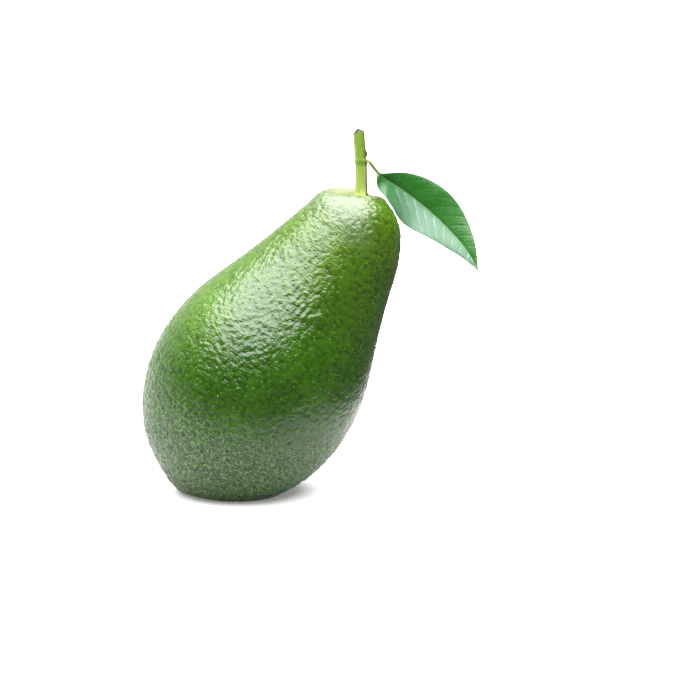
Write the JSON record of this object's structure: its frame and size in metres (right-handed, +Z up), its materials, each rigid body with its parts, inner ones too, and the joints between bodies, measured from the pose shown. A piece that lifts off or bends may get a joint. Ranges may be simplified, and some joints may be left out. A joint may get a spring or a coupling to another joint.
{
  "type": "whole avocado with stem and leaf",
  "caption": "Whole green-skinned avocado, pear-shaped and leaning on the flat spot of its blunt end, with its cut stem and a young leaf.",
  "frame": {"origin": "centre of the flat spot that the fruit rests on", "axes": "+Z up, away from the surface it rests on; +X the way the neck leans and the leaf grows; +Y to the back"},
  "size_m": [0.1124, 0.0708, 0.1218],
  "materials": {
    "skin": "glossy pebbled avocado skin, deep green with pale yellow-green dots",
    "stem": "smooth green bark, satin, brown at the cut end",
    "leaf": "waxy green leaf, glossy above"
  },
  "bodies": {
    "root": {"fruit": "skin", "stem": "stem", "leaf": "leaf"}
  },
  "joints": []
}
